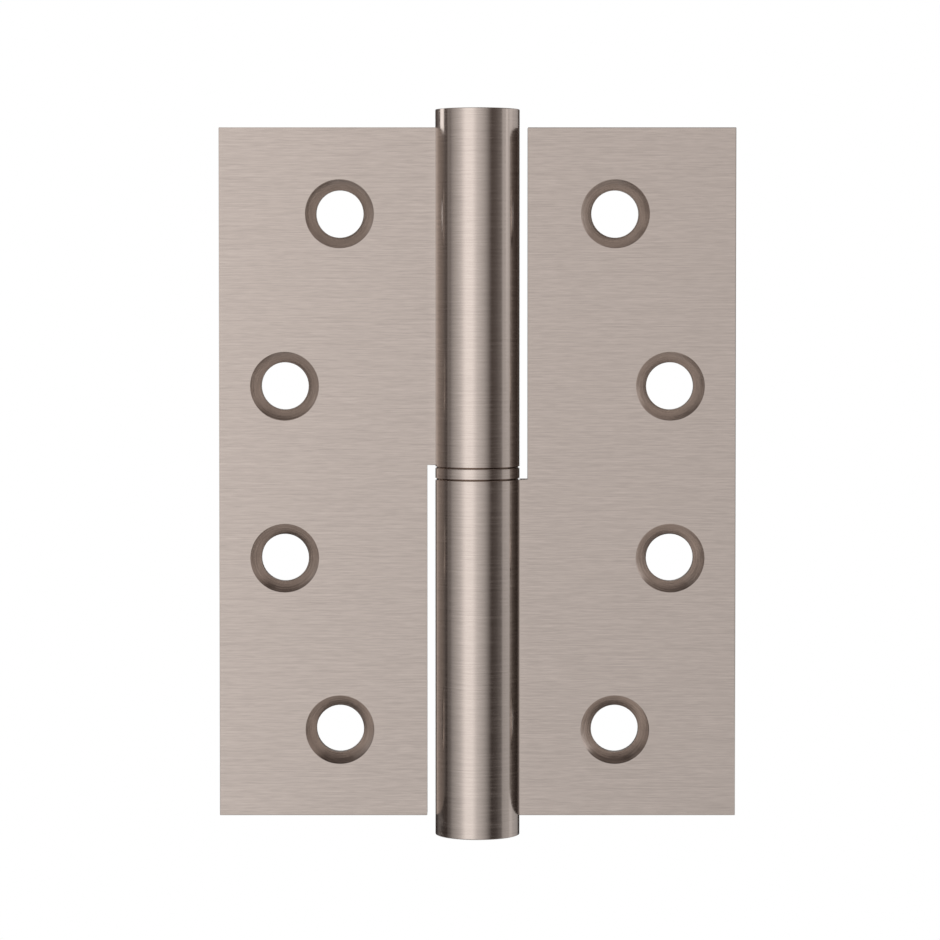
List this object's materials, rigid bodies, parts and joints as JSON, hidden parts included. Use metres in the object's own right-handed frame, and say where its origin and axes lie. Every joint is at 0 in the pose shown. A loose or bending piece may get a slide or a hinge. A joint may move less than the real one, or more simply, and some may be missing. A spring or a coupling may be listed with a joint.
{
  "type": "lift-off hinge",
  "caption": "Lift-off door hinge with flat countersunk leaves, rolled knuckles, a fixed pin and a thrust washer, lying open.",
  "frame": {"origin": "on the barrel's axis at half height, the centre of the bounding box", "axes": "+Z along the barrel, the way the door leaf lifts off; -Y out of the countersunk front faces; +X towards the frame leaf's outer edge"},
  "size_m": [0.075, 0.0122, 0.105],
  "materials": {
    "satin_nickel": "brushed satin nickel plate",
    "pin_steel": "ground bright steel"
  },
  "bodies": {
    "frame_side": {"frame_leaf": "satin_nickel", "hinge_pin": "pin_steel", "lower_tip": "satin_nickel"},
    "washer": {"thrust_washer": "satin_nickel"},
    "door_side": {"door_leaf": "satin_nickel", "upper_tip": "satin_nickel"}
  },
  "joints": [
    {"name": "swing", "type": "hinge", "parent": "frame_side", "child": "washer", "pos_m": [0, 0, 0], "axis": [0, 0, 1], "range_deg": [-115, 180]},
    {"name": "lift_off", "type": "slide", "parent": "washer", "child": "door_side", "axis": [0, 0, 1], "range_m": [0, 0.045]}
  ]
}
